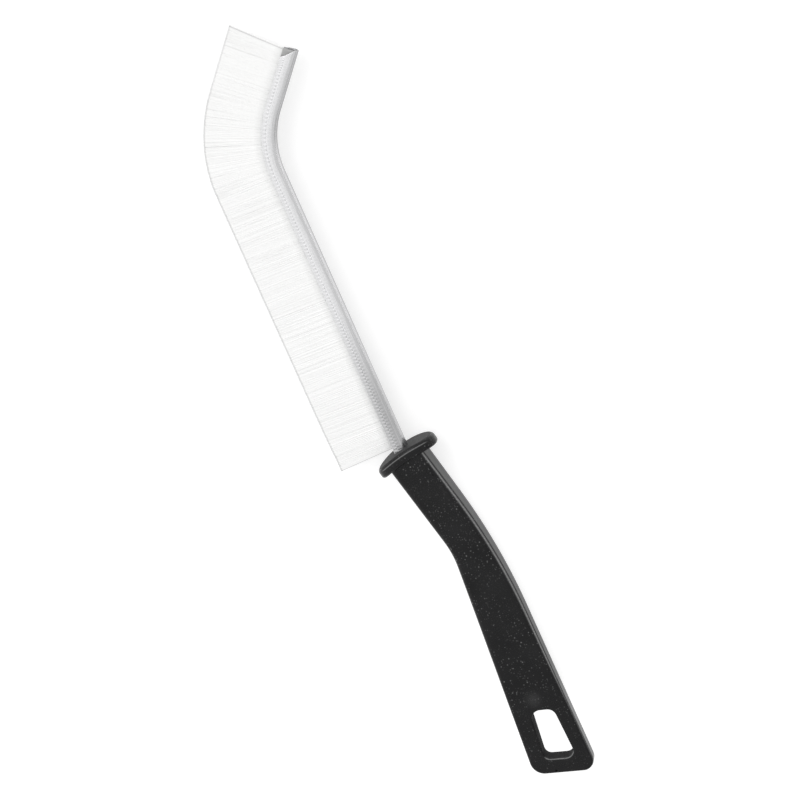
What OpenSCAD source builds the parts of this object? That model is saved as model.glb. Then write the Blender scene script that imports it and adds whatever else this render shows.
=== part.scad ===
// Crevice brush: a strip brush in a bent steel channel, set in a moulded handle.
// The brush lies on its side. +Y runs from the handle to the nose, the spine faces +X,
// the bristles face -X and +Z is up from the surface that the brush lies on.
// Sizes are first worked out with the spine on the Y axis and the guard's top at Y = 0,
// and the whole brush is then moved so that the origin is under the middle of its box.

/* [Handle] */
// Length from the guard's top to the middle of the end edge
handle_l = 114; // [100:1:130]
// Width of the neck under the guard
neck_w = 12.1; // [10.5:0.1:13.5]
// Lean of the neck away from the line of the channel, in degrees
neck_lean = 12.7; // [9:0.1:14]
// Distance of the neck's middle from the middle of the channel, towards the spine
neck_shift = 0.15; // [-0.4:0.05:0.8]
// Distance from the guard to the knee on the bristle side
knee_y = 35.3; // [30:0.1:42]
// Radius of the knee
knee_r = 31; // [8:1:40]
// Flare of the bristle side below the knee, in degrees
belly_flare = 4; // [2:0.1:6]
// Distance from the guard to the middle of the bend in the back
back_y = 39.9; // [36:0.1:46]
// Radius of the bend in the back
back_r = 194; // [120:1:240]
// Flare of the back below its bend, in degrees
back_flare = 0.4; // [0:0.1:3]
// Skew of the end edge, in degrees
end_skew = 15.9; // [0:0.1:20]
// Corner radius of the end on the bristle side
end_left_r = 4.7; // [2:0.1:6]
// Corner radius of the end on the spine side
end_right_r = 3.3; // [2:0.1:6]
// Thickness of the handle at the guard
neck_t = 11.5; // [9:0.1:12]
// Thickness of the handle at its end
end_t = 6; // [4.5:0.1:9]
// Radius of the handle's long edges
edge_r = 1.2; // [0.6:0.1:2.2]

/* [Guard] */
// Length of the guard across the handle
guard_l = 20.6; // [18:0.1:24]
// Depth of the guard from front to back
guard_d = 13.6; // [12.6:0.1:16]
// Thickness of the guard
guard_t = 3.4; // [2.6:0.1:4.2]
// Radius of the guard's arch
arch_r = 38; // [28:1:80]
// Radius of the guard's rim edges
guard_r = 1.1; // [0.6:0.1:1.2]
// Rise of the guard's top over the point that lengths are measured from
guard_rise = 0.6; // [0:0.1:1]
// Distance of the guard's middle from the neck's middle, towards the spine
guard_shift = 0.4; // [0:0.1:0.8]

/* [Hang slot] */
// Length of the slot
slot_l = 16.8; // [12:0.1:20]
// Width of the slot at its top
slot_top_w = 7.2; // [6:0.1:8]
// Width of the slot at its bottom
slot_end_w = 9.5; // [8:0.1:10.5]
// Corner radius at the slot's top
slot_top_r = 2.8; // [1:0.1:2.9]
// Corner radius at the slot's bottom
slot_end_r = 2.4; // [1:0.1:3]
// Wall between the slot and the end edge
slot_wall = 4.9; // [4:0.1:8]
// Distance of the slot from the middle of the handle, towards the back
slot_shift = 0.35; // [0:0.05:1]

/* [Channel] */
// Width of the channel, which is its size from front to back
channel_w = 3.6; // [3.5:0.1:4.8]
// Height of the channel from the spine to the lip
channel_h = 4.6; // [4.2:0.1:5.4]
// Thickness of the steel
sheet_t = 0.4; // [0.3:0.05:0.5]
// Outer radius of the fold at the spine
fold_r = 1.7; // [1.2:0.05:1.7]
// Height of the crimped lip
lip_h = 0.9; // [0.6:0.1:1.2]
// How far each lip is crimped inwards
lip_in = 0.3; // [0.15:0.05:0.35]
// Length of the straight run from the guard to the bend
run_l = 93.2; // [80:0.1:110]
// Radius of the bend, along the spine
bend_r = 26.5; // [14:0.5:40]
// Angle of the bend, in degrees
bend_a = 40.5; // [20:0.5:50]
// Length of the nose beyond the bend
nose_l = 18.9; // [14:0.1:36]
// Radius of the small bend hidden in the guard
root_bend_r = 20; // [16:1:30]
// Length of the straight tang in the handle
tang_l = 18; // [12:0.5:24]
// Diameter of the core wire
wire_d = 1.2; // [0.9:0.1:1.3]
// Thickness of the filaments folded under the core wire
fold_t = 0.8; // [0.6:0.1:0.9]

/* [Bristles] */
// Height of the brush from the spine to the trimmed tips
brush_h = 22.5; // [16:0.5:30]
// Distance from the guard to the first filaments
heel_gap = 1.6; // [1.2:0.1:4]
// Distance from the last filaments to the end of the channel
nose_gap = 0.7; // [0.5:0.1:2]
// Spacing of the strands along the brush
strand_pitch = 0.95; // [0.9:0.05:1.2]
// Thickness of a strand
strand_d = 0.6; // [0.4:0.02:0.66]
// Share of the row spacing that is left at the tips
tip_pinch = 0.8; // [0.65:0.01:1]
// Splay of the end strands at the heel, in degrees
heel_splay = 3; // [0:0.5:6]
// Splay of the end strands at the nose, in degrees
nose_splay = 5.4; // [0:0.1:7]
// Length over which the ends splay
splay_l = 10; // [8:0.5:14]

/* [Hidden] */
slices = 12;

// Path of the spine: tang, small bend, run, bend, nose. s is the length along it from the guard.
root_bend_l = root_bend_r * neck_lean * PI / 180;
bend_l = bend_r * bend_a * PI / 180;
path_start = -root_bend_l - tang_l;
path_end = run_l + bend_l + nose_l;
root_centre = [root_bend_r, 0];
bend_centre = [bend_r, run_l];

// Direction of travel at a turn of a degrees from +Y towards the spine side
function travel(a) = [sin(a), cos(a)];
// Direction from the spine towards the bristles at the same turn
function outward(a) = [-cos(a), sin(a)];
function turn(s) =
    s < -root_bend_l ? -neck_lean
    : s < 0 ? s / root_bend_r * 180 / PI
    : s < run_l ? 0
    : s < run_l + bend_l ? (s - run_l) / bend_r * 180 / PI
    : bend_a;
function on_arc(centre, r, a) = centre + r * outward(a);
function spine(s) =
    s < -root_bend_l
        ? on_arc(root_centre, root_bend_r, -neck_lean) + (s + root_bend_l) * travel(-neck_lean)
    : s < 0 ? on_arc(root_centre, root_bend_r, turn(s))
    : s < run_l ? [0, s]
    : s < run_l + bend_l ? on_arc(bend_centre, bend_r, turn(s))
    : on_arc(bend_centre, bend_r, bend_a) + (s - run_l - bend_l) * travel(bend_a);

// Handle outline: the two sides below the guard, and the end edge between them
neck_mid = [neck_shift - channel_h / 2, 0];
neck_out = outward(-neck_lean);
neck_up = travel(-neck_lean);
neck_start = neck_mid - guard_t / 2 * neck_up;
neck_left = neck_mid - [neck_w / 2 / cos(neck_lean), 0];
neck_right = neck_mid + [neck_w / 2 / cos(neck_lean), 0];
knee = neck_left + knee_y * [tan(neck_lean), -1];
back = neck_right + back_y * [tan(neck_lean), -1];
function left_x(y) = knee[0] + (y + knee_y) * tan(belly_flare);
function right_x(y) = back[0] - (y + back_y) * tan(back_flare);
end_mid = [(left_x(-handle_l) + right_x(-handle_l)) / 2, -handle_l];
end_slope = tan(end_skew);
// Corner where a side, given by its x at the end edge's middle and its slope, meets the end edge
function end_corner(x, slope) =
    let (run = (x - end_mid[0]) / (1 + slope * end_slope))
    [end_mid[0] + run, -handle_l - run * end_slope];
end_left = end_corner(left_x(-handle_l), tan(belly_flare));
end_right = end_corner(right_x(-handle_l), -tan(back_flare));

// Box of the brush, for the origin
bristle_end = path_end - nose_gap;
nose_tip = spine(bristle_end)
    + brush_h * (outward(bend_a) + tan(nose_splay) * travel(bend_a));
box_x = [-brush_h, max(spine(path_end)[0], end_right[0])];
box_y = [end_right[1] + end_right_r * (1 / cos(45 + end_skew / 2) - 1) * sin(45), nose_tip[1]];
mid_x = (box_x[0] + box_x[1]) / 2;
mid_y = (box_y[0] + box_y[1]) / 2;

function unit(v) = v / norm(v);

// Arc of radius r that rounds the corner p between a and b: each entry is a point and its
// outward normal, for an outline that is walked with its inside on the left
function arc_corner(a, p, b, r, steps) =
    let (u = unit(p - a), v = unit(b - p))
    let (left = [-u[1], u[0]])
    let (bend = atan2(left * v, u * v))
    let (start = p - r * tan(abs(bend) / 2) * u)
    let (centre = start + sign(bend) * r * left)
    let (first = atan2(-sign(bend) * left[1], -sign(bend) * left[0]))
    [for (i = [0 : steps])
        let (ray = [cos(first + bend * i / steps), sin(first + bend * i / steps)])
        [centre + r * ray, sign(bend) * ray]];

side_steps = 16;
corner_steps = 8;
handle_outline = concat(
    [[neck_start + neck_w / 2 * neck_out, neck_out]],
    arc_corner(neck_left, knee, end_left, knee_r, side_steps),
    arc_corner(knee, end_left, end_right, end_left_r, corner_steps),
    arc_corner(end_left, end_right, back, end_right_r, corner_steps),
    arc_corner(end_right, back, neck_right, back_r, side_steps),
    [[neck_start - neck_w / 2 * neck_out, -neck_out]]
);

// Half thickness of the handle at a place along it
function half_t(y) = (neck_t + (end_t - neck_t) * -y / handle_l) / 2;

// One level of the handle's skin: q runs from -90 at the back face's rim to 90 at the front's
function handle_ring(side, q) =
    [for (e = handle_outline)
        let (p = e[0] - edge_r * (1 - cos(q)) * e[1])
        [p[0], p[1], side * (half_t(e[0][1]) - edge_r) + edge_r * sin(q)]];

function flat(lists) = [for (l = lists) for (x = l) x];

// Faces between rings of m points each, closed round the loop
function ring_faces(rings, m) =
    [for (k = [0 : rings - 2]) for (j = [0 : m - 1])
        let (next = (j + 1) % m)
        [k * m + j, (k + 1) * m + j, (k + 1) * m + next, k * m + next]];

// A loop's flat lid, as strips between its two sides
function lid_faces(base, m, up) =
    [for (j = [0 : m / 2 - 2])
        let (f = [base + j, base + j + 1, base + m - 2 - j, base + m - 1 - j])
        up ? [f[3], f[2], f[1], f[0]] : f];

module handle_body() {
    edge_angles = [0, 22.5, 45, 67.5, 90];
    m = len(handle_outline);
    rings = concat(
        [for (i = [4 : -1 : 0]) handle_ring(-1, -edge_angles[i])],
        [for (q = edge_angles) handle_ring(1, q)]
    );
    count = len(rings);
    polyhedron(
        points = flat(rings),
        faces = concat(ring_faces(count, m), lid_faces(0, m, false), lid_faces((count - 1) * m, m, true))
    );
}

// A point of the guard: e across the handle, z from front to back, n up from its top face
guard_mid = neck_mid - guard_shift * neck_out + guard_rise * neck_up;
function guard_point(e, z, n) =
    let (p = guard_mid - e * neck_out + (n - e * e / (2 * arch_r)) * neck_up)
    [p[0], p[1], z];
guard_power = 2.5;
guard_steps = 40;
function rounded_cos(q) = sign(cos(q)) * pow(abs(cos(q)), 2 / guard_power);
function guard_ring(half_l, half_d, n) =
    [for (j = [0 : guard_steps - 1])
        let (q = 360 * j / guard_steps)
        guard_point(half_l * rounded_cos(q), half_d * rounded_cos(q + 90), n)];

module guard() {
    half_l = guard_l / 2 - guard_r;
    half_d = guard_d / 2 - guard_r;
    low_mid = guard_r - guard_t;
    rings = concat(
        [for (k = [0.35, 0.7]) guard_ring(k * half_l, k * half_d, -guard_t)],
        [for (q = [-90 : 22.5 : 0])
            guard_ring(half_l + guard_r * cos(q), half_d + guard_r * cos(q), low_mid + guard_r * sin(q))],
        [for (q = [0 : 22.5 : 90])
            guard_ring(half_l + guard_r * cos(q), half_d + guard_r * cos(q), guard_r * (sin(q) - 1))],
        [for (k = [0.7, 0.35]) guard_ring(k * half_l, k * half_d, 0)]
    );
    m = guard_steps;
    count = len(rings);
    last = count * m;
    polyhedron(
        points = concat(flat(rings), [guard_point(0, 0, -guard_t), guard_point(0, 0, 0)]),
        faces = concat(
            ring_faces(count, m),
            [for (j = [0 : m - 1]) [last, j, (j + 1) % m]],
            [for (j = [0 : m - 1]) [last + 1, last - m + (j + 1) % m, last - m + j]]
        )
    );
}

// Corner of the hang slot, on a line across the handle that is parallel to the end edge
function slot_corner(y, side, width) =
    [(left_x(y) + right_x(y)) / 2 + slot_shift + side * width / 2, y - side * width / 2 * end_slope];
slot_low_y = -handle_l + slot_wall / cos(end_skew);
slot_top_y = slot_low_y + slot_l;

module hang_slot() {
    a = slot_corner(slot_top_y, -1, slot_top_w);
    b = slot_corner(slot_low_y, -1, slot_end_w);
    c = slot_corner(slot_low_y, 1, slot_end_w);
    d = slot_corner(slot_top_y, 1, slot_top_w);
    arcs = concat(
        arc_corner(d, a, b, slot_top_r, corner_steps),
        arc_corner(a, b, c, slot_end_r, corner_steps),
        arc_corner(b, c, d, slot_end_r, corner_steps),
        arc_corner(c, d, a, slot_top_r, corner_steps)
    );
    linear_extrude(2 * neck_t, center = true) polygon([for (e = arcs) e[0]]);
}

// Sections are loops of [height from the spine, place from back to front], walked from the
// mouth's front round the spine to the mouth's back.
fold_angles = [0, 30, 60, 90];
// Loop of the channel: inset is 0 for its outside and sheet_t for its hollow
function channel_loop(inset) =
    let (half = channel_w / 2 - inset, r = fold_r - inset)
    let (front = concat(
        [[channel_h, half - lip_in], [channel_h - lip_h, half]],
        [for (q = fold_angles) [fold_r - r * sin(q), channel_w / 2 - fold_r + r * cos(q)]]))
    concat(front, [for (i = [len(front) - 1 : -1 : 0]) [front[i][0], -front[i][1]]]);
wire_h = sheet_t + fold_t + wire_d / 2;
wire_loop = [for (q = [15 : 30 : 345]) [wire_h, 0] + wire_d / 2 * [cos(q), sin(q)]];

// Places along the spine where a sweep from a to b has a section: its ends, and steps round the
// bends. The steps of the large bend fall in with the slices of the bristles.
root_steps = 4;
slice_steps = 8;
slice_l = (bristle_end - heel_gap) / slices;
step_gap = 0.2;
bend_marks = concat(
    [for (i = [0 : root_steps]) -root_bend_l * (1 - i / root_steps)],
    [run_l],
    [for (i = [0 : slices * slice_steps])
        let (s = heel_gap + i * slice_l / slice_steps)
        if (s > run_l + step_gap && s < run_l + bend_l - step_gap) s],
    [run_l + bend_l]
);
function stations(a, b) =
    concat([a], [for (s = bend_marks) if (s > a + step_gap && s < b - step_gap) s], [b]);
function swept_points(loop, places) =
    [for (s = places) for (p = loop)
        let (c = spine(s) + p[0] * outward(turn(s)))
        [c[0], c[1], p[1]]];

// Sweeps a loop along the spine from a to b
module swept(loop, a, b) {
    places = stations(a, b);
    m = len(loop);
    polyhedron(
        points = swept_points(loop, places),
        faces = concat(
            ring_faces(len(places), m),
            lid_faces(0, m, false),
            lid_faces((len(places) - 1) * m, m, true)
        )
    );
}

// Sweeps a loop with a hole in it, where both have as many points
module swept_tube(loop, hole, a, b) {
    places = stations(a, b);
    m = len(loop);
    inner = m * len(places);
    last = inner - m;
    polyhedron(
        points = concat(swept_points(loop, places), swept_points(hole, places)),
        faces = concat(
            ring_faces(len(places), m),
            [for (f = ring_faces(len(places), m)) [for (i = [3 : -1 : 0]) inner + f[i]]],
            [for (j = [0 : m - 1]) let (n = (j + 1) % m) [j, n, inner + n, inner + j]],
            [for (j = [0 : m - 1]) let (n = (j + 1) % m)
                [last + n, last + j, inner + last + j, inner + last + n]]
        )
    );
}

// Strands: rows from front to back, staggered along the brush
strands_per_row = floor(slice_l / strand_pitch);
mouth_w = channel_w - 2 * sheet_t - 2 * lip_in;
strand_margin = 0.1;
row_z = mouth_w / 2 - strand_d / 2 - strand_margin;
rows = [[-row_z, 0.25], [0, 0.75], [row_z, 0.25]];
grip_h = 0.4;

// Lean of a strand from square, towards the nose, growing over the last stretch at each end
function lean(s) =
    let (heel = max(0, 1 - (s - heel_gap) / splay_l), nose = max(0, 1 - (bristle_end - s) / splay_l))
    nose_splay * nose * nose - heel_splay * heel * heel;
function strand_centre(s, z, h) =
    let (rise = (h - channel_h) * tan(lean(s)))
    let (p = spine(s) + h * outward(turn(s)) + rise * travel(turn(s)))
    [p[0], p[1], z * (1 - (1 - tip_pinch) * (h - channel_h) / (brush_h - channel_h))];
function strand_ring(s, z, h) =
    let (t = travel(turn(s)), c = strand_centre(s, z, h))
    [for (k = [0 : 2])
        let (q = 90 + 120 * k)
        c + strand_d / 2 * [cos(q) * t[0], cos(q) * t[1], sin(q)]];
strand_faces = [[2, 1, 0], [1, 3, 0], [1, 4, 3], [2, 4, 1], [2, 5, 4], [0, 5, 2], [0, 3, 5], [3, 4, 5]];

module strands(a) {
    starts = [for (row = rows) for (i = [0 : strands_per_row - 1])
        [a + (i + row[1]) * slice_l / strands_per_row, row[0]]];
    polyhedron(
        points = flat([for (e = starts)
            concat(strand_ring(e[0], e[1], channel_h - grip_h), strand_ring(e[0], e[1], brush_h))]),
        faces = flat([for (i = [0 : len(starts) - 1])
            [for (f = strand_faces) [6 * i + f[0], 6 * i + f[1], 6 * i + f[2]]]])
    );
}

// Places the brush, which is drawn about its middle plane, on its surface
module placed() {
    translate([-mid_x, -mid_y, guard_d / 2]) children();
}

module handle() {
    color([0.17, 0.17, 0.17]) placed() difference() {
        union() {
            handle_body();
            guard();
        }
        swept(channel_loop(0), path_start, guard_rise + guard_t);
        hang_slot();
    }
}

module channel() {
    hollow = channel_loop(sheet_t);
    strip = concat(channel_loop(0), [for (i = [len(hollow) - 1 : -1 : 0]) hollow[i]]);
    color([0.78, 0.78, 0.79]) placed() swept(strip, path_start, path_end);
}

module core_wire() {
    color([0.6, 0.6, 0.62]) placed() swept(wire_loop, path_start, bristle_end);
}

module tang_filaments() {
    color([0.93, 0.93, 0.92]) placed()
        swept_tube(channel_loop(sheet_t), wire_loop, path_start, heel_gap);
}

module bristles(i) {
    a = heel_gap + (i - 1) * slice_l;
    color([0.96, 0.96, 0.95]) placed() {
        swept_tube(channel_loop(sheet_t), wire_loop, a, a + slice_l);
        strands(a);
    }
}

echo(strands = len(rows) * strands_per_row * slices);

handle();
channel();
core_wire();
tang_filaments();
bristles(1);  // bristles_01
bristles(2);  // bristles_02
bristles(3);  // bristles_03
bristles(4);  // bristles_04
bristles(5);  // bristles_05
bristles(6);  // bristles_06
bristles(7);  // bristles_07
bristles(8);  // bristles_08
bristles(9);  // bristles_09
bristles(10);  // bristles_10
bristles(11);  // bristles_11
bristles(12);  // bristles_12
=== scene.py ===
import math
import random

import bpy
from mathutils import Matrix, Vector, geometry, noise


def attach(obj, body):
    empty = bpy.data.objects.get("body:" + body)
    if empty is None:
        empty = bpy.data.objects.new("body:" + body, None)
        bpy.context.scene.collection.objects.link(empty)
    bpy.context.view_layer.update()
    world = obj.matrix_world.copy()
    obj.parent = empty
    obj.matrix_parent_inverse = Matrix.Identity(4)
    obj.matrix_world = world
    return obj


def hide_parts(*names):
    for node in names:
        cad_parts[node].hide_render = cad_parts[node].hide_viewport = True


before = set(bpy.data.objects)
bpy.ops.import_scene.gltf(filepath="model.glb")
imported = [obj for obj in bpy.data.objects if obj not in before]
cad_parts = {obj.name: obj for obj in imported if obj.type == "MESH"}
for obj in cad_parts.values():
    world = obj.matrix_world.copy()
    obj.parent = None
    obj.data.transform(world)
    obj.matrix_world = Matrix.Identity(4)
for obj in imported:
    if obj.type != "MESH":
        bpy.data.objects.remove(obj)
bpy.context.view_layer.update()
random.seed(11)

# Sizes are in millimetres, in the frame that part.scad draws in: the spine lies on the Y axis of
# the run, the guard's top is at Y = 0 and Z = 0 is the middle plane.
HANDLE_L, NECK_W, NECK_LEAN, NECK_SHIFT = 114.0, 12.1, 12.7, 0.15
KNEE_Y, KNEE_R, BELLY_FLARE = 35.3, 31.0, 4.0
BACK_Y, BACK_R, BACK_FLARE = 39.9, 194.0, 0.4
END_SKEW, END_LEFT_R, END_RIGHT_R = 15.9, 4.7, 3.3
NECK_T, END_T, EDGE_R = 11.5, 6.0, 1.2
GUARD_L, GUARD_D, GUARD_T, ARCH_R = 20.6, 13.6, 3.4, 38.0
GUARD_R, GUARD_RISE, GUARD_SHIFT = 1.1, 0.6, 0.4
SLOT_L, SLOT_TOP_W, SLOT_END_W, SLOT_TOP_R, SLOT_END_R = 16.8, 7.2, 9.5, 2.8, 2.4
SLOT_WALL, SLOT_SHIFT = 4.9, 0.35
CHANNEL_W, CHANNEL_H, SHEET_T, FOLD_R, LIP_IN = 3.6, 4.6, 0.4, 1.7, 0.3
RUN_L, BEND_R, BEND_A, NOSE_L = 93.2, 26.5, 40.5, 18.9
ROOT_BEND_R, TANG_L, WIRE_D, FOLD_T = 20.0, 18.0, 1.2, 0.8
BRUSH_H, HEEL_GAP, NOSE_GAP = 22.5, 1.6, 0.7
HEEL_SPLAY, NOSE_SPLAY, SPLAY_L = 3.0, 5.4, 10.0

# Middle of the part's box in the drawing frame. The row frame has its origin under it.
BOX_MID_X, BOX_MID_Y = -1.9381, 12.6209
SHIFT = Vector((-BOX_MID_X, -BOX_MID_Y, GUARD_D / 2))

# How far the dressed handle and guard stay inside the solids
SKIN = 0.01


def sin(a):
    return math.sin(math.radians(a))


def cos(a):
    return math.cos(math.radians(a))


def tan(a):
    return math.tan(math.radians(a))


def metres(x, y, z=0.0):
    """A place of the drawing frame, in the row frame and in metres."""
    return (Vector((x, y, z)) + SHIFT) / 1000


# The spine's path, as in part.scad
ROOT_BEND_L = ROOT_BEND_R * math.radians(NECK_LEAN)
BEND_L = BEND_R * math.radians(BEND_A)
PATH_START = -ROOT_BEND_L - TANG_L
PATH_END = RUN_L + BEND_L + NOSE_L
BRISTLE_END = PATH_END - NOSE_GAP


def travel(a):
    return Vector((sin(a), cos(a)))


def outward(a):
    return Vector((-cos(a), sin(a)))


def turn(s):
    if s < -ROOT_BEND_L:
        return -NECK_LEAN
    if s < 0:
        return math.degrees(s / ROOT_BEND_R)
    if s < RUN_L:
        return 0.0
    if s < RUN_L + BEND_L:
        return math.degrees((s - RUN_L) / BEND_R)
    return BEND_A


def spine(s):
    a = turn(s)
    if s < 0:
        p = Vector((ROOT_BEND_R, 0)) + ROOT_BEND_R * outward(a)
        return p + min(0.0, s + ROOT_BEND_L) * travel(a)
    if s < RUN_L:
        return Vector((0.0, s))
    p = Vector((BEND_R, RUN_L)) + BEND_R * outward(a)
    return p + max(0.0, s - RUN_L - BEND_L) * travel(a)


def at(s, h, z):
    p = spine(s) + h * outward(turn(s))
    return (p.x, p.y, z)


# Mesh helpers
def smooth(t):
    t = min(1.0, max(0.0, t))
    return t * t * (3 - 2 * t)


def bell(offset, width):
    return math.exp(-(offset / width) ** 2)


def frange(a, b, step):
    n = max(1, round((b - a) / step))
    return [a + (b - a) * i / n for i in range(n + 1)]


def grey(value):
    return (value, value, value)


def piece(name, verts, faces, material, nodes, uv=None, tone=None, sharp=None):
    """A piece of the dressed part. Tone holds one colour a vertex, which its material reads."""
    mesh = bpy.data.meshes.new(name)
    mesh.from_pydata([metres(*v) for v in verts], [], faces)
    mesh.polygons.foreach_set("use_smooth", [True] * len(mesh.polygons))
    if uv:
        layer = mesh.uv_layers.new(name="path")
        for loop in mesh.loops:
            layer.data[loop.index].uv = uv[loop.vertex_index]
    layer = mesh.color_attributes.new("tone", "FLOAT_COLOR", "POINT")
    layer.data.foreach_set("color", [c for t in tone for c in (*t, 1.0)])
    mesh.update()
    if sharp:
        mesh.set_sharp_from_angle(angle=math.radians(sharp))
    obj = bpy.data.objects.new(name, mesh)
    bpy.context.scene.collection.objects.link(obj)
    mesh.materials.append(material)
    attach(obj, "root")
    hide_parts(*nodes)
    return obj


def ring_faces(rings, m, base=0):
    return [(base + k * m + j, base + k * m + (j + 1) % m,
             base + (k + 1) * m + (j + 1) % m, base + (k + 1) * m + j)
            for k in range(rings - 1) for j in range(m)]


def flipped(faces):
    return [tuple(reversed(f)) for f in faces]


# Node helpers
def material(name):
    mat = bpy.data.materials.new(name)
    mat.use_nodes = True
    tree = mat.node_tree
    return mat, tree, tree.nodes["Principled BSDF"]


def node(tree, kind, **values):
    n = tree.nodes.new(kind)
    for key, value in values.items():
        if hasattr(n, key):
            setattr(n, key, value)
        else:
            n.inputs[key.replace("_", " ")].default_value = value
    return n


def ramp(tree, source, stops):
    r = tree.nodes.new("ShaderNodeValToRGB")
    while len(r.color_ramp.elements) < len(stops):
        r.color_ramp.elements.new(0.5)
    for e, (p, v) in zip(r.color_ramp.elements, stops):
        e.position = p
        e.color = (*v, 1) if isinstance(v, tuple) else (v, v, v, 1)
    tree.links.new(source, r.inputs["Fac"])
    return r.outputs["Color"]


def combine(tree, operation, a, b, clamp=False):
    n = node(tree, "ShaderNodeMath", operation=operation, use_clamp=clamp)
    tree.links.new(a, n.inputs[0])
    tree.links.new(b, n.inputs[1])
    return n.outputs[0]


def blend(tree, factor, a, value):
    """Mixes a towards an even grey."""
    n = node(tree, "ShaderNodeMix", data_type="RGBA")
    tree.links.new(factor, n.inputs["Factor"])
    tree.links.new(a, n.inputs["A"])
    n.inputs["B"].default_value = (*grey(value), 1)
    return n.outputs["Result"]


def tone_colour(tree):
    return node(tree, "ShaderNodeVertexColor", layer_name="tone").outputs["Color"]


def roughen(tree, bsdf, source, strength, distance):
    bump_node = node(tree, "ShaderNodeBump", Strength=strength, Distance=distance)
    tree.links.new(source, bump_node.inputs["Height"])
    tree.links.new(bump_node.outputs["Normal"], bsdf.inputs["Normal"])


# Materials
MOULD_DARK, MOULD_LIGHT = (0.0050, 0.0050, 0.0053), (0.0105, 0.0105, 0.0110)
# The second grey is the pale grey of the painted highlights and sheen on the black moulding
DUST_GREY, SHEEN_GREY, DULL_ROUGHNESS = 0.17, 0.30, 0.85
# Density of the dust's cells per metre, size of a speck as a share of its cell, and its brightness
DUST_LAYERS = ((900.0, 0.26, 1.0), (1500.0, 0.30, 0.8))


def dust(tree, coords):
    """Specks of dust: some of the cells of two sizes, thinned out by a broad noise."""
    gate = node(tree, "ShaderNodeTexNoise", Scale=70.0, Detail=3.0)
    tree.links.new(coords, gate.inputs["Vector"])
    layers = []
    for scale, size, bright in DUST_LAYERS:
        cells = node(tree, "ShaderNodeTexVoronoi", Scale=scale, Randomness=1.0)
        tree.links.new(coords, cells.inputs["Vector"])
        spot_stops = [(0.0, bright), (size * 0.5, bright * 0.8), (size, 0.0)]
        spots = ramp(tree, cells.outputs["Distance"], spot_stops)
        pick = node(tree, "ShaderNodeSeparateColor")
        tree.links.new(cells.outputs["Color"], pick.inputs[0])
        chosen = ramp(tree, pick.outputs[0], [(0.45, 0.0), (1.0, 1.0)])
        layers.append(combine(tree, "MULTIPLY", spots, chosen))
    specks = combine(tree, "MAXIMUM", *layers)
    few = ramp(tree, gate.outputs["Fac"], [(0.38, 0.2), (0.62, 1.0)])
    return combine(tree, "MULTIPLY", specks, few)


def plastic():
    """Satin black moulding. The tone's red is how dull a place is, as on the walls of the slot, and
    its green is painted highlight and sheen: how much a place is painted pale where light catches it."""
    mat, tree, bsdf = material("black_plastic")
    coords = node(tree, "ShaderNodeTexCoord").outputs["Object"]
    link = tree.links.new
    broad = node(tree, "ShaderNodeTexNoise", Scale=90.0, Detail=3.0, Roughness=0.55)
    fine = node(tree, "ShaderNodeTexNoise", Scale=2600.0, Detail=2.0, Roughness=0.6)
    for n in (broad, fine):
        link(coords, n.inputs["Vector"])
    tone = node(tree, "ShaderNodeSeparateColor")
    link(tone_colour(tree), tone.inputs[0])
    dull, painted_sheen = tone.outputs[0], tone.outputs[1]
    ground = ramp(tree, broad.outputs["Fac"], [(0.3, MOULD_DARK), (0.7, MOULD_LIGHT)])
    dusty = blend(tree, dust(tree, coords), ground, DUST_GREY)
    uneven = ramp(tree, fine.outputs["Fac"], [(0.35, 0.6), (0.65, 1.0)])
    sheen_mask = combine(tree, "MULTIPLY", painted_sheen, uneven)
    # painted highlight and sheen: the tone's green mixes the moulding towards a pale grey
    link(blend(tree, sheen_mask, dusty, SHEEN_GREY), bsdf.inputs["Base Color"])
    gloss = ramp(tree, fine.outputs["Fac"], [(0.3, 0.20), (0.7, 0.30)])
    link(blend(tree, dull, gloss, DULL_ROUGHNESS), bsdf.inputs["Roughness"])
    roughen(tree, bsdf, fine.outputs["Fac"], 0.25, 0.00003)
    bsdf.inputs["Specular IOR Level"].default_value = 0.22
    return mat


def steel(name, dark, light, rough):
    """Drawn strip: streaks run along the strip (u is the way along it and v the way round it, in mm).
    The tone darkens it, mostly with painted shade and painted reflection."""
    mat, tree, bsdf = material(name)
    link = tree.links.new
    uv = node(tree, "ShaderNodeUVMap", uv_map="path").outputs["UV"]
    stretch = node(tree, "ShaderNodeMapping")
    stretch.inputs["Scale"].default_value = (0.16, 5.0, 1.0)
    link(uv, stretch.inputs["Vector"])
    streaks = node(tree, "ShaderNodeTexNoise", Scale=1.0, Detail=4.0, Roughness=0.65)
    blotch = node(tree, "ShaderNodeTexNoise", Scale=1.4, Detail=3.0)
    link(stretch.outputs["Vector"], streaks.inputs["Vector"])
    link(uv, blotch.inputs["Vector"])
    mixed = node(tree, "ShaderNodeMix", data_type="FLOAT")
    mixed.inputs["Factor"].default_value = 0.35
    link(streaks.outputs["Fac"], mixed.inputs["A"])
    link(blotch.outputs["Fac"], mixed.inputs["B"])
    shade = node(tree, "ShaderNodeMix", data_type="RGBA", blend_type="MULTIPLY")
    shade.inputs["Factor"].default_value = 1.0
    link(ramp(tree, mixed.outputs["Result"], [(0.32, dark), (0.68, light)]), shade.inputs["A"])
    link(tone_colour(tree), shade.inputs["B"])
    link(shade.outputs["Result"], bsdf.inputs["Base Color"])
    gloss = ramp(tree, streaks.outputs["Fac"], [(0.3, rough), (0.7, rough + 0.14)])
    link(gloss, bsdf.inputs["Roughness"])
    roughen(tree, bsdf, streaks.outputs["Fac"], 0.25, 0.00004)
    bsdf.inputs["Metallic"].default_value = 1.0
    return mat


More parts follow.
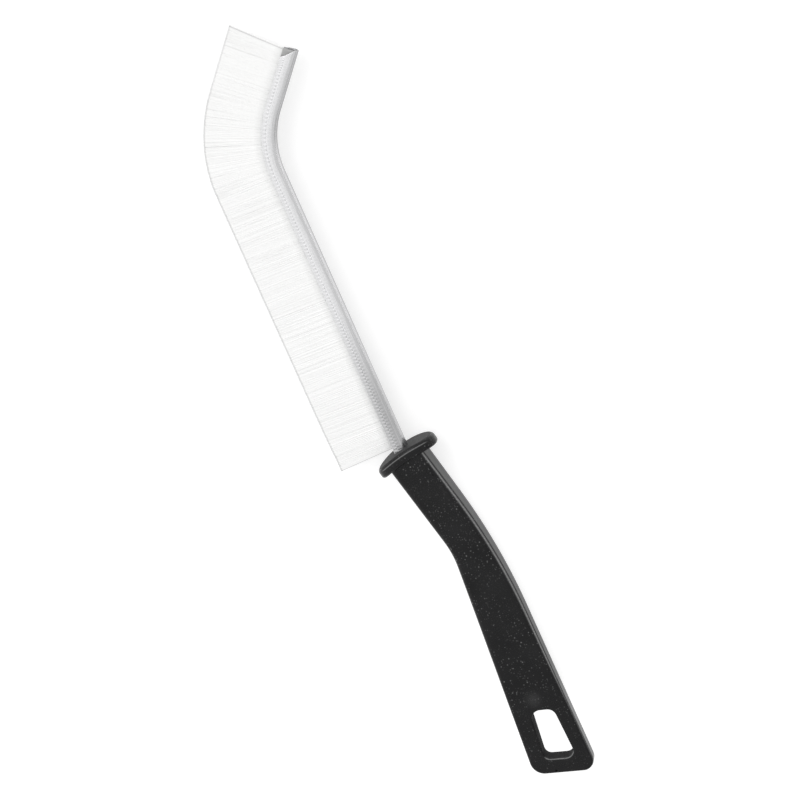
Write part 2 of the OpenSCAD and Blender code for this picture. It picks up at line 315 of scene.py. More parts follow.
def nylon():
    """White filament with a trace of warmth. The tone is its brightness."""
    mat, tree, bsdf = material("white_nylon")
    link = tree.links.new
    white = ramp(tree, tone_colour(tree), [(0.0, 0.0), (1.0, (1.0, 1.0, 0.996))])
    link(white, bsdf.inputs["Base Color"])
    coords = node(tree, "ShaderNodeTexCoord").outputs["Object"]
    grain = node(tree, "ShaderNodeTexNoise", Scale=1500.0, Detail=2.0)
    link(coords, grain.inputs["Vector"])
    link(ramp(tree, grain.outputs["Fac"], [(0.3, 0.34), (0.7, 0.5)]), bsdf.inputs["Roughness"])
    bsdf.inputs["Specular IOR Level"].default_value = 0.2
    return mat


BLACK = plastic()
STEEL = steel("strip_steel", (0.76, 0.76, 0.77), (0.90, 0.90, 0.91), 0.16)
WIRE = steel("wire_steel", (0.40, 0.40, 0.41), (0.58, 0.58, 0.59), 0.34)
NYLON = nylon()


# Lines that the handle is drawn along, as in part.scad
def handle_lines():
    mid = Vector((NECK_SHIFT - CHANNEL_H / 2, 0))
    half = NECK_W / 2 / cos(NECK_LEAN)
    neck_left, neck_right = mid - Vector((half, 0)), mid + Vector((half, 0))
    knee = neck_left + KNEE_Y * Vector((tan(NECK_LEAN), -1))
    back = neck_right + BACK_Y * Vector((tan(NECK_LEAN), -1))
    return mid, neck_left, neck_right, knee, back


NECK_MID, NECK_LEFT, NECK_RIGHT, KNEE, BACK = handle_lines()
NECK_OUT, NECK_UP = outward(-NECK_LEAN), travel(-NECK_LEAN)


def left_x(y):
    return KNEE.x + (y + KNEE_Y) * tan(BELLY_FLARE)


def right_x(y):
    return BACK.x - (y + BACK_Y) * tan(BACK_FLARE)


def mid_x(y):
    return (left_x(y) + right_x(y)) / 2


END_MID = Vector((mid_x(-HANDLE_L), -HANDLE_L))


def end_corner(x, slope):
    run = (x - END_MID.x) / (1 + slope * tan(END_SKEW))
    return END_MID + Vector((run, -run * tan(END_SKEW)))


END_LEFT = end_corner(left_x(-HANDLE_L), tan(BELLY_FLARE))
END_RIGHT = end_corner(right_x(-HANDLE_L), -tan(BACK_FLARE))
SLOT_LOW_Y = -HANDLE_L + SLOT_WALL / cos(END_SKEW)
SLOT_TOP_Y = SLOT_LOW_Y + SLOT_L
SLOT_MID = Vector((4.7, -100.6))


def arc_corner(a, p, b, r, steps):
    """Points and outward normals of the arc that rounds corner p, with the inside on the left."""
    u, v = (p - a).normalized(), (b - p).normalized()
    left = Vector((-u.y, u.x))
    bend = math.atan2(left.dot(v), u.dot(v))
    side = math.copysign(1, bend)
    centre = p - r * math.tan(abs(bend) / 2) * u + side * r * left
    first = math.atan2(-side * left.y, -side * left.x)
    out = []
    for i in range(steps + 1):
        q = first + bend * i / steps
        ray = Vector((math.cos(q), math.sin(q)))
        out.append((centre + r * ray, side * ray))
    return out


def filled(points, step):
    """Adds points on the straight stretches of a closed outline."""
    out = []
    for (p, n), (q, m) in zip(points, points[1:] + points[:1]):
        out.append((p, n))
        count = int((q - p).length / step)
        straight = n.dot(m) > 0.999
        if straight and count > 1:
            out += [(p.lerp(q, i / count), n) for i in range(1, count)]
    return out


def half_t(y):
    return (NECK_T + (END_T - NECK_T) * -y / HANDLE_L) / 2


def slot_corner(y, side, width):
    across = side * width / 2
    return Vector((mid_x(y) + SLOT_SHIFT + across, y - across * tan(END_SKEW)))


def inside(p, loop):
    hit = False
    for a, b in zip(loop, loop[1:] + loop[:1]):
        if (a.y > p.y) != (b.y > p.y) and p.x < (b.x - a.x) * (p.y - a.y) / (b.y - a.y) + a.x:
            hit = not hit
    return hit


def clear(p, points, gap):
    return all(abs(p.x - q.x) > gap or abs(p.y - q.y) > gap for q in points)


# Handle
# The edge is rounded a little more than in the solids
ROUNDING = EDGE_R + 0.25
SIDE_WALL, GROOVE_IN = 2.9, 0.20
# Groove between the side wall and the rounded edge: inset from the side and depth under the rounding
GROOVE = ((0.0, 0.62), (0.04, 0.52), (0.13, 0.42), (GROOVE_IN, 0.30), (GROOVE_IN, 0.18), (0.14, 0.06))
ROUNDING_INSET, ROUNDING_STEPS = 0.12, 12
# Drop from the face and width of the painted highlight line along the rounded edge
HIGHLIGHT_LINE_DROP, HIGHLIGHT_LINE_W = EDGE_R * 0.6, 0.25
RIM_R = 0.5
# Row spacing of the points inside a face, and how far they keep from its outlines
LID_STEP_Y, LID_GAP = 0.95, 0.45
DISH_DEPTH, DISH_HALF_W, DISH_HALF_L = 0.16, 3.4, 3.8
DISH_MID = Vector((mid_x(SLOT_TOP_Y) - 0.6, SLOT_TOP_Y + 4.2))


def dish(p):
    """A shallow hollow above the slot, where the moulding sank a little."""
    d = p - DISH_MID
    return DISH_DEPTH * (1 - smooth(math.hypot(d.x / DISH_HALF_W, d.y / DISH_HALF_L)))


def handle_outline():
    neck_start = NECK_MID - GUARD_T / 2 * NECK_UP
    lead = neck_start + NECK_W / 2 * NECK_OUT
    tail = neck_start - NECK_W / 2 * NECK_OUT
    return filled(
        [(lead, NECK_OUT)]
        + arc_corner(NECK_LEFT, KNEE, END_LEFT, KNEE_R, 12)
        + arc_corner(KNEE, END_LEFT, END_RIGHT, END_LEFT_R, 20)
        + arc_corner(END_LEFT, END_RIGHT, BACK, END_RIGHT_R, 20)
        + arc_corner(END_RIGHT, BACK, NECK_RIGHT, BACK_R, 60)
        + [(tail, -NECK_OUT)], 0.8)


def slot_outline():
    a, b = slot_corner(SLOT_TOP_Y, -1, SLOT_TOP_W), slot_corner(SLOT_LOW_Y, -1, SLOT_END_W)
    c, d = slot_corner(SLOT_LOW_Y, 1, SLOT_END_W), slot_corner(SLOT_TOP_Y, 1, SLOT_TOP_W)
    return filled(arc_corner(d, a, b, SLOT_TOP_R, 14) + arc_corner(a, b, c, SLOT_END_R, 12)
                  + arc_corner(b, c, d, SLOT_END_R, 12) + arc_corner(c, d, a, SLOT_TOP_R, 14), 0.7)


def edge_profile():
    """From the side wall to the face: inset from the side and drop from the face."""
    profile = [(0.0, SIDE_WALL)] + [(inset, ROUNDING + under) for inset, under in GROOVE]
    for i in range(1, ROUNDING_STEPS + 1):
        q = 90 * i / ROUNDING_STEPS
        profile.append((ROUNDING_INSET + ROUNDING * (1 - cos(q)), ROUNDING * (1 - sin(q))))
    return profile


def add_wall(verts, tone, outline):
    """The side wall, from the back face to the front one. Returns its number of rings."""
    profile = edge_profile()
    levels = [(-1, *step) for step in reversed(profile)] + [(1, *step) for step in profile]
    for side, inset, drop in levels:
        for p, n in outline:
            # the edge is rounded less towards the end
            fade = 0.55 + 0.45 * smooth((p.y + 110) / 60)
            half = half_t(p.y)
            q = p - (inset * fade + SKIN) * n
            verts.append((q.x, q.y, side * (half - min(drop * fade, half * 0.96))))
            # the back's side wall is duller and painted pale as a sheen, and a painted highlight line
            # runs along the start of its rounded edge
            side_sheen = smooth((n.x - 0.3) / 0.5) * smooth((p.y + 98) / 24)
            if inset < 0.02:
                tone.append((0.25 * side_sheen, 0.14 * side_sheen, 0.0))
            else:
                tone.append((0.0, side_sheen * bell(drop - HIGHLIGHT_LINE_DROP, HIGHLIGHT_LINE_W), 0.0))
    return len(levels)


def add_tunnel(verts, tone, ring):
    """The slot's wall, with a rounded rim on both faces. Returns its number of rings."""
    rim = [(RIM_R * (1 - sin(q)), RIM_R * (1 - cos(q))) for q in range(0, 91, 15)]
    steps = [(1, *step) for step in rim] + [(-1, *step) for step in reversed(rim)]
    for side, grow, drop in steps:
        for p, n in ring:
            q = p + grow * n
            verts.append((q.x, q.y, side * (half_t(p.y) - drop)))
            # a painted highlight line runs along the lower rim
            low = smooth((-n.y - 0.25) / 0.4) * bell(grow - 0.2, 0.13)
            tone.append((1.0 if drop > 0.3 else 0.0, 0.85 * low, 0.0))
    return len(steps)


def add_lid(verts, tone, faces, side, wall_ring, slot_ring):
    """A face with the slot's hole, triangulated over a grid so that it can dish."""
    m, k = len(wall_ring), len(slot_ring)
    edge = wall_ring + slot_ring
    points = [Vector(verts[i][:2]) for i in edge]
    segments = [(i, (i + 1) % m) for i in range(m)] + [(m + i, m + (i + 1) % k) for i in range(k)]
    loop_out, loop_in = points[:m], points[m:]
    for iy in range(-120, 0):
        for ix in range(-10, 20):
            p = Vector((ix + 0.5 * (iy % 2), iy * LID_STEP_Y))
            if inside(p, loop_out) and not inside(p, loop_in) and clear(p, points, LID_GAP):
                points.append(p)
    found = geometry.delaunay_2d_cdt(points, segments, [], 0, 1e-5)
    new_points, triangles, origins = found[0], found[2], found[3]
    index = []
    for p, origin in zip(new_points, origins):
        known = [s for s in origin if s < len(edge)]
        if known:
            index.append(edge[known[0]])
        else:
            index.append(len(verts))
            verts.append((p.x, p.y, side * (half_t(p.y) - dish(p))))
            # painted sheen in the dish above the slot
            tone.append((0.0, 0.55 * dish(p), 0.0))
    for triangle in triangles:
        mid = sum((new_points[i] for i in triangle), Vector((0, 0))) / 3
        if inside(mid, loop_out) and not inside(mid, loop_in):
            face = tuple(index[i] for i in triangle)
            faces.append(face if side > 0 else tuple(reversed(face)))


def make_handle():
    verts, faces, tone = [], [], []
    outline, ring = handle_outline(), slot_outline()
    m, k = len(outline), len(ring)
    rows = add_wall(verts, tone, outline)
    faces += ring_faces(rows, m)
    slot_base = len(verts)
    steps = add_tunnel(verts, tone, ring)
    faces += ring_faces(steps, k, slot_base)
    wall_rings = {-1: list(range(m)), 1: list(range((rows - 1) * m, rows * m))}
    slot_rings = {1: list(range(slot_base, slot_base + k)),
                  -1: list(range(slot_base + (steps - 1) * k, slot_base + steps * k))}
    for side in (1, -1):
        add_lid(verts, tone, faces, side, wall_rings[side], slot_rings[side])
    return piece("handle_moulding", verts, faces, BLACK, ["handle"],
                 tone=tone, sharp=50)


# Guard
GUARD_MID = NECK_MID - GUARD_SHIFT * NECK_OUT + GUARD_RISE * NECK_UP
GUARD_POINTS, GUARD_POWER, GUARD_ROUND_STEPS = 112, 2.5, 12
TOP_STEP = 0.04


def guard_levels():
    """Rings from the underside up: share of the plate, growth past it and height below its top."""
    angles = [90 * i / GUARD_ROUND_STEPS for i in range(GUARD_ROUND_STEPS + 1)]
    levels = [(share, 0.0, -GUARD_T) for share in (0.15, 0.4, 0.7, 0.9)]
    levels += [(1.0, GUARD_R * cos(q - 90), GUARD_R * (1 + sin(q - 90)) - GUARD_T) for q in angles]
    levels.append((1.0, GUARD_R, -GUARD_R - 0.15))
    levels += [(1.0, GUARD_R * cos(q), GUARD_R * (sin(q) - 1)) for q in angles]
    # a low step inside the rim of the top face, then the top
    levels += [(0.97, 0.0, 0.0), (0.9, 0.0, -TOP_STEP / 2)]
    levels += [(share, 0.0, -TOP_STEP) for share in (0.7, 0.4, 0.15)]
    return levels


def make_guard():
    m = GUARD_POINTS
    half_l, half_d = GUARD_L / 2 - GUARD_R - SKIN, GUARD_D / 2 - GUARD_R - SKIN
    verts, tone = [], []

    def rounded(q):
        c = cos(q)
        return math.copysign(abs(c) ** (2 / GUARD_POWER), c)

    def put(e, z, n):
        p = GUARD_MID - e * NECK_OUT + (n - e * e / (2 * ARCH_R)) * NECK_UP
        verts.append((p.x, p.y, z))
        # a painted highlight line round the start of the rounded rim, and a duller top face
        painted_line = bell(n + 0.92, 0.12) * smooth((abs(z) - 4.2) / 1.4)
        tone.append((0.4 if n > -0.12 else 0.0, 0.85 * painted_line, 0.0))

    levels = guard_levels()
    for share, grow, n in levels:
        for j in range(m):
            q = 360 * j / m
            put((share * half_l + grow) * rounded(q), (share * half_d + grow) * rounded(q + 90), n)
    faces = flipped(ring_faces(len(levels), m))
    put(0, 0, -GUARD_T)
    put(0, 0, -TOP_STEP)
    low, last = len(verts) - 2, (len(levels) - 1) * m
    faces += [(low, j, (j + 1) % m) for j in range(m)]
    faces += [(low + 1, last + (j + 1) % m, last + j) for j in range(m)]
    return piece("handle_guard", verts, faces, BLACK, ["handle"], tone=tone)


# Steel channel
CRIMP_PITCH, CRIMP_DEPTH = 1.09, 0.15
# For each row of marks: height, shift in pitches, depth and what is added to it near the handle
CRIMP_ROWS = ((3.98, 0.0, 1.0, -0.45), (3.42, 0.5, 0.35, 0.25), (2.9, 0.0, 0.0, 0.35))
RING_R, RING_W = 0.42, 0.19
# Heights on the wall where it steps in to the crimped band
STEP_H, BAND_H = 3.05, 3.35
CROWN = 0.03
STATION_STEP = 0.109
# The nose end's slanted cut: reach along the strip, depth on the back wall, what the front wall
# adds, height where it starts and height over which it grows
CUT_L, CUT_BACK, CUT_FRONT, CUT_LOW_H, CUT_RISE = 8.0, 0.45, 2.6, 0.9, 3.3


def channel_side():
    """Half section from the mouth to the spine: height and half width. The sheet steps in to the
    crimped band, and its wall is slightly crowned."""
    band = CHANNEL_W / 2 - LIP_IN
    pts = [(CHANNEL_H, band - 0.16), (CHANNEL_H - 0.04, band - 0.07), (CHANNEL_H - 0.12, band - 0.01)]
    pts += [(h, band) for h in frange(CHANNEL_H - 0.2, BAND_H, 0.07)]
    for i in range(1, 7):
        t = i / 6
        pts.append((BAND_H + (STEP_H - BAND_H) * t, band + (LIP_IN - CROWN) * smooth(t)))
    for h in frange(STEP_H - 0.1, FOLD_R, 0.11):
        t = (h - FOLD_R) / (STEP_H - FOLD_R)
        pts.append((h, CHANNEL_W / 2 - CROWN * t * t))
    pts += [(FOLD_R * (1 - sin(q)), CHANNEL_W / 2 - FOLD_R * (1 - cos(q))) for q in range(6, 91, 6)]
    return pts


def inner_point(h, z):
    """The inside of the sheet beside a point of its outside."""
    if h > FOLD_R:
        return (h, z - SHEET_T + 0.1 * max(0.0, h - CHANNEL_H + 0.1))
    q = math.asin(min(1.0, 1 - h / FOLD_R))
    r = FOLD_R - SHEET_T
    return (FOLD_R - r * math.sin(q), CHANNEL_W / 2 - FOLD_R + r * math.cos(q))


def mirrored(side):
    return side + [(h, -z) for h, z in reversed(side)]


def bump(ds, dh, size):
    return math.exp(-(ds * ds + dh * dh) / (size * size))


def crimp(s, h):
    """Depth of the pressed marks: a chain of rings along the band, and more rows near the handle."""
    root = 1 - smooth((s - 18) / 40)
    depth = 0.0
    for row_h, phase, plain, near in CRIMP_ROWS:
        share = plain + near * root
        ds = ((s / CRIMP_PITCH + phase + 0.5) % 1.0 - 0.5) * CRIMP_PITCH
        dh = h - row_h
        if share < 0.02 or abs(dh) > 0.6:
            continue
        depth += share * (CRIMP_DEPTH * bump(abs(ds) - RING_R, dh, RING_W) - 0.04 * bump(ds, dh, 0.2))
    if h > 2.6:
        ds = ((s / CRIMP_PITCH + 0.5) % 1.0 - 0.5) * CRIMP_PITCH
        depth -= 0.03 * (1 - root) * bump(ds, h - STEP_H - 0.05, 0.2)
    # crease beside the fold, only near the handle
    depth += 0.07 * (1 - smooth((s - 14) / 18)) * bell(h - FOLD_R - 0.05, 0.09)
    return depth


def end_cut(s, h, z):
    """The nose end is cut back towards the lip, more on the front wall than on the back one."""
    start = PATH_END - CUT_L
    if s <= start:
        return s
    front = 0.5 + 0.5 * max(-1.0, min(1.0, z / 1.2))
    depth = (CUT_BACK + CUT_FRONT * front) * max(0.0, min(1.0, (h - CUT_LOW_H) / CUT_RISE))
    return s - depth * (s - start) / CUT_L


def sheet_tone(s, h):
    """Shade of the sheet: darker towards the handle, painted shade towards the fold and on the crimped
    band, and a painted dark reflection along the round back that grows towards the nose."""
    nose = smooth((s - 95) / 14)
    # darker towards the handle
    handle_darkening = 0.72 + 0.28 * smooth((s - 8) / 42)
    # painted shade darkens the wall towards the fold and, a little, on the crimped band
    shade = handle_darkening * (0.93 + 0.07 * smooth((h - 1.0) / 1.6)) * (1 - 0.06 * smooth((h - 3.3) / 0.2))
    # painted dark reflection of the shadowed floor along the round back, growing towards the nose
    painted_line = 0.06 + 0.30 * smooth((s - 12) / 35) + 0.22 * nose
    return shade * (1 - painted_line * (1 - smooth((h - 0.05) / (0.3 + 0.35 * nose))))


def make_channel():
    side = channel_side()
    outer = mirrored(side)
    inner = mirrored([inner_point(h, z) for h, z in side])
    m = len(outer)
    loop = outer + inner[::-1]
    total = len(loop)
    walk = [0.0]
    for (h0, z0), (h1, z1) in zip(loop, loop[1:]):
        walk.append(walk[-1] + math.hypot(h1 - h0, z1 - z0))
    stations = frange(PATH_START, -0.4, 1.2) + frange(-0.2, PATH_END - 0.1, STATION_STEP) + [PATH_END]
    verts, uv, tone = [], [], []
    for s in stations:
        end = s > PATH_END - 0.02
        for i, (h, z) in enumerate(loop):
            outside = i < m
            press = 0.0
            if outside and h > 1.3 and 0.6 <= s < PATH_END - 1.2:
                press = crimp(s, h)
            if end and outside:
                # the cut edge is broken
                h = h + 0.06 * (1 if h < 1 else -1 if h > CHANNEL_H - 0.1 else 0)
                press = 0.06
            verts.append(at(end_cut(s, h, z), h, z - math.copysign(press, z)))
            uv.append((s, walk[i]))
            shade = sheet_tone(s, h)
            # painted shade in the pressed marks and on the broken cut edge, deeper where they press
            # deeper
            if outside and h > 1.3:
                shade *= 1 - min(0.55, 5.5 * max(0.0, press))
            tone.append(grey(shade))
    faces = flipped(ring_faces(len(stations), total))
    for base, flip in ((0, False), ((len(stations) - 1) * total, True)):
        for j in range(m - 1):
            f = (base + j, base + j + 1, base + total - 2 - j, base + total - 1 - j)
            faces.append(tuple(reversed(f)) if flip else f)
    return piece("steel_channel", verts, faces, STEEL, ["channel"],
                 uv=uv, tone=tone, sharp=60)


def make_wire():
    middle_h = SHEET_T + FOLD_T + WIRE_D / 2
    stations = frange(PATH_START, RUN_L, 6) + frange(RUN_L, BRISTLE_END, 0.8)[1:]
    m = 20
    verts, uv = [], []
    for s in stations:
        for j in range(m):
            q = 360 * j / m
            verts.append(at(s, middle_h + WIRE_D / 2 * cos(q), WIRE_D / 2 * sin(q)))
            uv.append((s, j / m * WIRE_D * math.pi))
    faces = flipped(ring_faces(len(stations), m))
    last = (len(stations) - 1) * m
    faces += [tuple(range(m)), tuple(reversed(range(last, last + m)))]
    tone = [grey(1.0)] * len(verts)
    return piece("core_wire_steel", verts, faces, WIRE, ["core_wire"],
                 uv=uv, tone=tone, sharp=50)


# Filaments
MOUTH = CHANNEL_W / 2 - SHEET_T - LIP_IN
PACK_HALF = MOUTH - 0.15
STRAND_ROWS, STRAND_SIDES = 7, 5
STRAND_STEP, BEND_CLOSER = 0.225, 0.105
STRAND_R_MIN, STRAND_R_MAX = 0.168, 0.18
# Painted dark outline on the cut tips: how much darker they are, less so past this place near the nose
TIP_DARK, NOSE_TIP_DARK, NOSE_TIPS_FROM = 0.18, 0.12, 110
# Filaments this near the nose end start deep in the channel, because they show in its open end.
# Their low part is painted dark there, as shade inside the channel.
OPEN_END_L, OPEN_END_FOOT, OPEN_END_SHADE = 4.0, 1.3, 0.45
SLICES = 12


def lean(s):
    heel = max(0.0, 1 - (s - HEEL_GAP) / SPLAY_L)
    nose = max(0.0, 1 - (BRISTLE_END - s) / SPLAY_L)
    return NOSE_SPLAY * nose * nose - HEEL_SPLAY * heel * heel


def clump(s, z):
    """Smooth sideways drift of the tips, which opens narrow gaps between bunches."""
    drift = 0.12 * noise.noise(Vector((s * 0.3, z * 0.1, 3.0)))
    drift += 0.05 * noise.noise(Vector((s * 1.5, z * 0.3, 9.0)))
    return drift


def trim(s):
    """Height of the trimmed tips, a little lower at both ends."""
    return BRUSH_H - 0.25 * (1 - smooth(s / 16)) - 0.55 * smooth((s - RUN_L - 2) / 18)


def strand_tone(s, row):
    """Brightness of a filament: even, with thin lines of painted gap shade, and a painted dark
    outline at the pack's corners.
    """
    shade = 0.962 + 0.008 * random.random()
    if row >= STRAND_ROWS - 3:
        # thin lines of painted shade, as in the gaps between bunches
        shade -= 0.12 * max(0.0, noise.noise(Vector((s * 2.2, 4.0, 1.0))) - 0.35)
    edge = min(s - HEEL_GAP, BRISTLE_END - s)
    # painted dark outline at the ends of the pack's outer rows
    if edge < 0.32 and row in (0, STRAND_ROWS - 1):
        shade -= 0.22
    return shade


def strand_places():
    """Places along the spine, closer in the bend, where the filaments fan out."""
    out, s = [], HEEL_GAP + 0.12
    while s < BRISTLE_END - 0.1:
        out.append(s)
        in_bend = smooth((s - RUN_L + 1) / 3) - smooth((s - RUN_L - BEND_L + 2) / 3)
        s += STRAND_STEP - BEND_CLOSER * in_bend
    return out


def add_strand(verts, faces, tone, place, row):
    """One filament with its own place, lean, bow, length, thickness and shade."""
    middle = (row + 0.5) / STRAND_ROWS * 2 - 1
    odd = row % 2
    s = place + (0.5 * odd + random.uniform(-0.25, 0.25)) * 0.2
    s = min(max(s, HEEL_GAP + 0.13), BRISTLE_END - 0.13)
    z = max(-1.0, min(1.0, middle + random.uniform(-0.09, 0.09)))
    edge = max(0.0, min(1.0, (s - HEEL_GAP) / 3, (BRISTLE_END - s) / 3))
    drift = clump(s, z * MOUTH) * smooth(edge) + random.gauss(0, 0.03) * edge
    bow = random.gauss(0, 0.03) * edge
    top = trim(s) - abs(random.gauss(0, 0.07)) - 0.02
    radius = random.uniform(STRAND_R_MIN, STRAND_R_MAX)
    shade = strand_tone(s, row)
    deep = s > PATH_END - OPEN_END_L
    foot = OPEN_END_FOOT if deep else CHANNEL_H - 0.8
    # painted shade where the filaments leave the channel, deeper near the handle
    root_shade = 0.16 + 0.06 * (1 - smooth((s - 5) / 50))
    tip_dark = TIP_DARK if s < NOSE_TIPS_FROM else NOSE_TIP_DARK
    along_dir, out_dir = travel(turn(s)), outward(turn(s))
    base = len(verts)
    above_lip = [CHANNEL_H + rise for rise in (-0.1, 0.15, 0.8, 2.5)]
    tip = [top - 0.55, top - 0.48, top]
    heights = [foot] + above_lip + [14.0] + tip
    for k, h in enumerate(heights):
        t = max(0.0, (h - CHANNEL_H) / (BRUSH_H - CHANNEL_H))
        along = max(0.0, h - CHANNEL_H) * tan(lean(s)) + drift * t * t + bow * math.sin(math.pi * t)
        centre = spine(s) + h * out_dir + along * along_dir
        depth = z * PACK_HALF * (1 - 0.18 * t)
        level = shade * (1 - root_shade * (1 - smooth(t * 11)))
        # painted dark outline at the tips
        if k >= len(heights) - 2:
            level -= tip_dark
        # painted shade inside the open end
        if deep and k < 2:
            level = OPEN_END_SHADE
        for j in range(STRAND_SIDES):
            q = 360 / STRAND_SIDES * j + 36 * odd
            p = centre + radius * cos(q) * along_dir
            verts.append((p.x, p.y, depth + radius * sin(q)))
            tone.append(grey(level))
    faces += flipped(ring_faces(len(heights), STRAND_SIDES, base))
    last = base + (len(heights) - 1) * STRAND_SIDES
    faces.append(tuple(range(base, base + STRAND_SIDES)))
    faces.append(tuple(reversed(range(last, last + STRAND_SIDES))))


def make_filaments():
    verts, faces, tone = [], [], []
    places = strand_places()
    for row in range(STRAND_ROWS):
        for place in places:
            add_strand(verts, faces, tone, place, row)
    nodes = ["bristles_%02d" % i for i in range(1, SLICES + 1)]
    return piece("filament_pack", verts, faces, NYLON, nodes,
                 tone=tone, sharp=55)


def make_backing():
    """The filaments where they are folded over the wire inside the channel."""
    arc_r = FOLD_R - SHEET_T
    arc = [(FOLD_R - arc_r * sin(q), CHANNEL_W / 2 - FOLD_R + arc_r * cos(q)) for q in range(0, 91, 15)]
    mouth_half = MOUTH - 0.02
    side = [(CHANNEL_H - 0.6, mouth_half), (BAND_H, mouth_half), (STEP_H, CHANNEL_W / 2 - SHEET_T - 0.06)]
    loop = mirrored(side + arc)
    m = len(loop)
    stations = frange(PATH_START + 0.2, RUN_L, 1.5) + frange(RUN_L, PATH_END - 2.8, 0.7)[1:]
    verts = [at(s, h, z) for s in stations for h, z in loop]
    faces = flipped(ring_faces(len(stations), m))
    last = (len(stations) - 1) * m
    for j in range(m // 2 - 1):
        faces.append((j, j + 1, m - 2 - j, m - 1 - j))
        faces.append((last + m - 1 - j, last + m - 2 - j, last + j + 1, last + j))
    # painted dark, with random variation, as shade inside the channel
    tone = [grey(random.uniform(0.12, 0.4)) for _ in verts]
    return piece("filament_fold", verts, faces, NYLON, ["tang_filaments"],
                 tone=tone)


# Floor, light and camera
FLOOR_HALF = 6.0
FLOOR_GREY, SEEN_FLOOR_GREY = 0.82, 0.54
# Glow of the floor as seen, by the distance in metres from the middle of the slot: nearly white
# under the slot, pale round the handle and thinner further off, so that the shadow shows there
# The stronger glow under the slot and round the handle is painted light that lifts the shadow there
FLOOR_GLOW = [(0.007, 0.92), (0.016, 0.74), (0.08, 0.70), (0.12, 0.57)]
# The world is brightest beyond the bristles and the nose, darkest beyond the handle's end
WORLD_AXIS = (0.40, -0.30, 0.0)
WORLD_STOPS = [(0.0, 1.12), (0.36, 1.08), (0.46, 0.88), (0.54, 0.79),
               (0.62, 0.75), (0.90, 0.73), (1.0, 0.44)]
# Name, place in metres, power in watts and size in metres
LAMPS = (
    ("key", (-0.25, 1.05, 1.15), 3.0, (0.6, 0.6)),
    ("strip_side", (1.45, -0.10, 0.38), 0.6, (1.2, 0.14)),
    ("strip_head", (-0.35, 1.45, 0.38), 1.2, (1.2, 0.14)),
)
CAMERA_TURN, CAMERA_VIEW = 23.6, (0.104, 0.285, 0.953)
CAMERA_TARGET, CAMERA_AWAY, CAMERA_LENS = (3.45, 14.7), 1.212, 180


def floor_material():
    """A pale floor that keeps the shadow, lifted by painted light under the slot and round the handle.
    Camera, glossy and transmission rays see it glow.
    """
    mat = bpy.data.materials.new("pale_floor")
    mat.use_nodes = True
    tree = mat.node_tree
    tree.nodes.clear()
    link = tree.links.new
    path = tree.nodes.new("ShaderNodeLightPath")
    seen = combine(tree, "ADD", path.outputs["Is Camera Ray"], path.outputs["Is Glossy Ray"], True)
    seen = combine(tree, "ADD", seen, path.outputs["Is Transmission Ray"], True)
    plain = tree.nodes.new("ShaderNodeBsdfDiffuse")
    plain.inputs["Color"].default_value = (*grey(FLOOR_GREY), 1)
    thin = tree.nodes.new("ShaderNodeBsdfDiffuse")
    thin.inputs["Color"].default_value = (*grey(SEEN_FLOOR_GREY), 1)
    coords = tree.nodes.new("ShaderNodeTexCoord")
    away = node(tree, "ShaderNodeVectorMath", operation="DISTANCE")
    slot_mid = metres(*SLOT_MID)
    away.inputs[1].default_value = (slot_mid.x, slot_mid.y, 0.0)
    link(coords.outputs["Object"], away.inputs[0])
    glow = tree.nodes.new("ShaderNodeEmission")
    link(ramp(tree, away.outputs["Value"], FLOOR_GLOW), glow.inputs["Color"])
    pale = tree.nodes.new("ShaderNodeAddShader")
    link(thin.outputs[0], pale.inputs[0])
    link(glow.outputs[0], pale.inputs[1])
    mix = tree.nodes.new("ShaderNodeMixShader")
    link(seen, mix.inputs[0])
    link(plain.outputs[0], mix.inputs[1])
    link(pale.outputs[0], mix.inputs[2])
    out = tree.nodes.new("ShaderNodeOutputMaterial")
    link(mix.outputs[0], out.inputs["Surface"])
    return mat


def make_floor():
    r = FLOOR_HALF
    mesh = bpy.data.meshes.new("floor")
    mesh.from_pydata([(-r, -r, 0), (r, -r, 0), (r, r, 0), (-r, r, 0)], [], [(0, 1, 2, 3)])
    floor = bpy.data.objects.new("floor", mesh)
    bpy.context.scene.collection.objects.link(floor)
    mesh.materials.append(floor_material())


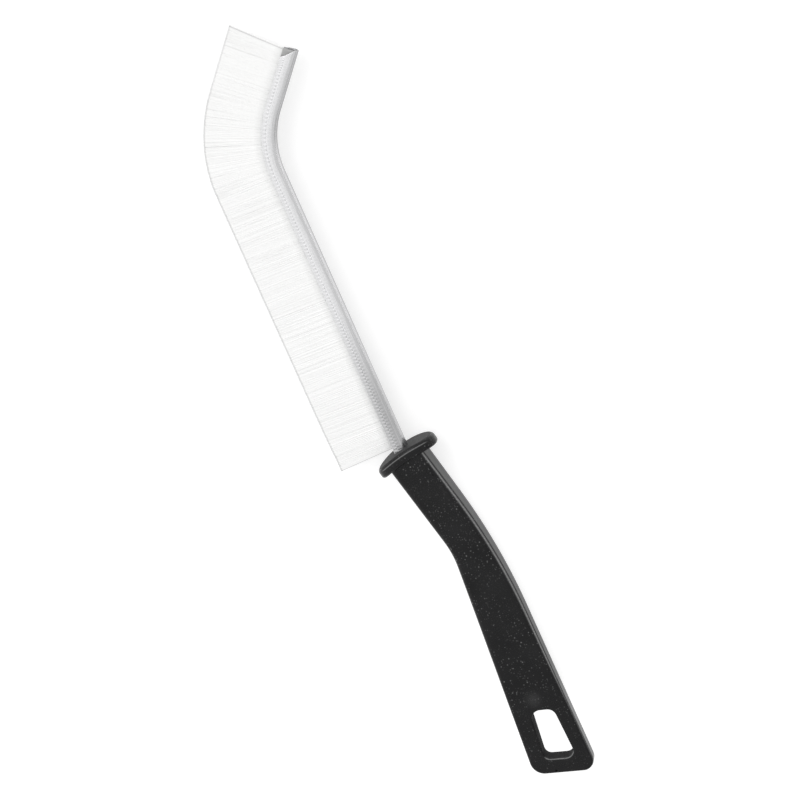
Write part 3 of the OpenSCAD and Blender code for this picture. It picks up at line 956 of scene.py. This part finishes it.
def make_world():
    world = bpy.data.worlds.new("studio")
    bpy.context.scene.world = world
    world.use_nodes = True
    tree = world.node_tree
    tree.nodes.clear()
    link = tree.links.new
    coords = tree.nodes.new("ShaderNodeTexCoord")
    across = node(tree, "ShaderNodeVectorMath", operation="DOT_PRODUCT")
    across.inputs[1].default_value = WORLD_AXIS
    link(coords.outputs["Generated"], across.inputs[0])
    centred = node(tree, "ShaderNodeMath", operation="ADD")
    centred.inputs[1].default_value = 0.5
    link(across.outputs["Value"], centred.inputs[0])
    glow = tree.nodes.new("ShaderNodeBackground")
    link(ramp(tree, centred.outputs[0], WORLD_STOPS), glow.inputs["Color"])
    out = tree.nodes.new("ShaderNodeOutputWorld")
    link(glow.outputs[0], out.inputs["Surface"])


def make_lamp(name, place, power, size):
    data = bpy.data.lights.new(name, "AREA")
    data.energy = power
    data.shape = "RECTANGLE"
    data.size, data.size_y = size
    obj = bpy.data.objects.new(name, data)
    bpy.context.scene.collection.objects.link(obj)
    obj.location = place
    obj.rotation_euler = (-Vector(place)).to_track_quat("-Z", "Y").to_euler()


def make_camera():
    """Long lens on the middle of the brush, turned so that the brush leans as in the photo."""
    right_i = Vector((cos(CAMERA_TURN), -sin(CAMERA_TURN), 0))
    up_i = Vector((sin(CAMERA_TURN), cos(CAMERA_TURN), 0))
    x, y, z = CAMERA_VIEW
    view = (x * right_i + y * up_i + z * Vector((0, 0, 1))).normalized()
    right = (-view).cross(up_i).normalized()
    up = right.cross(-view)
    camera = bpy.data.objects.new("camera", bpy.data.cameras.new("camera"))
    bpy.context.scene.collection.objects.link(camera)
    camera.data.sensor_width = 36
    camera.data.lens = CAMERA_LENS
    camera.data.clip_end = 30
    turned = Matrix((right, up, view)).transposed().to_4x4()
    camera.matrix_world = Matrix.Translation(metres(*CAMERA_TARGET) + CAMERA_AWAY * view) @ turned
    bpy.context.scene.camera = camera


make_handle()
make_guard()
make_channel()
make_wire()
make_filaments()
make_backing()
make_floor()
make_world()
for lamp in LAMPS:
    make_lamp(*lamp)
make_camera()
bpy.context.scene.view_settings.view_transform = "Standard"
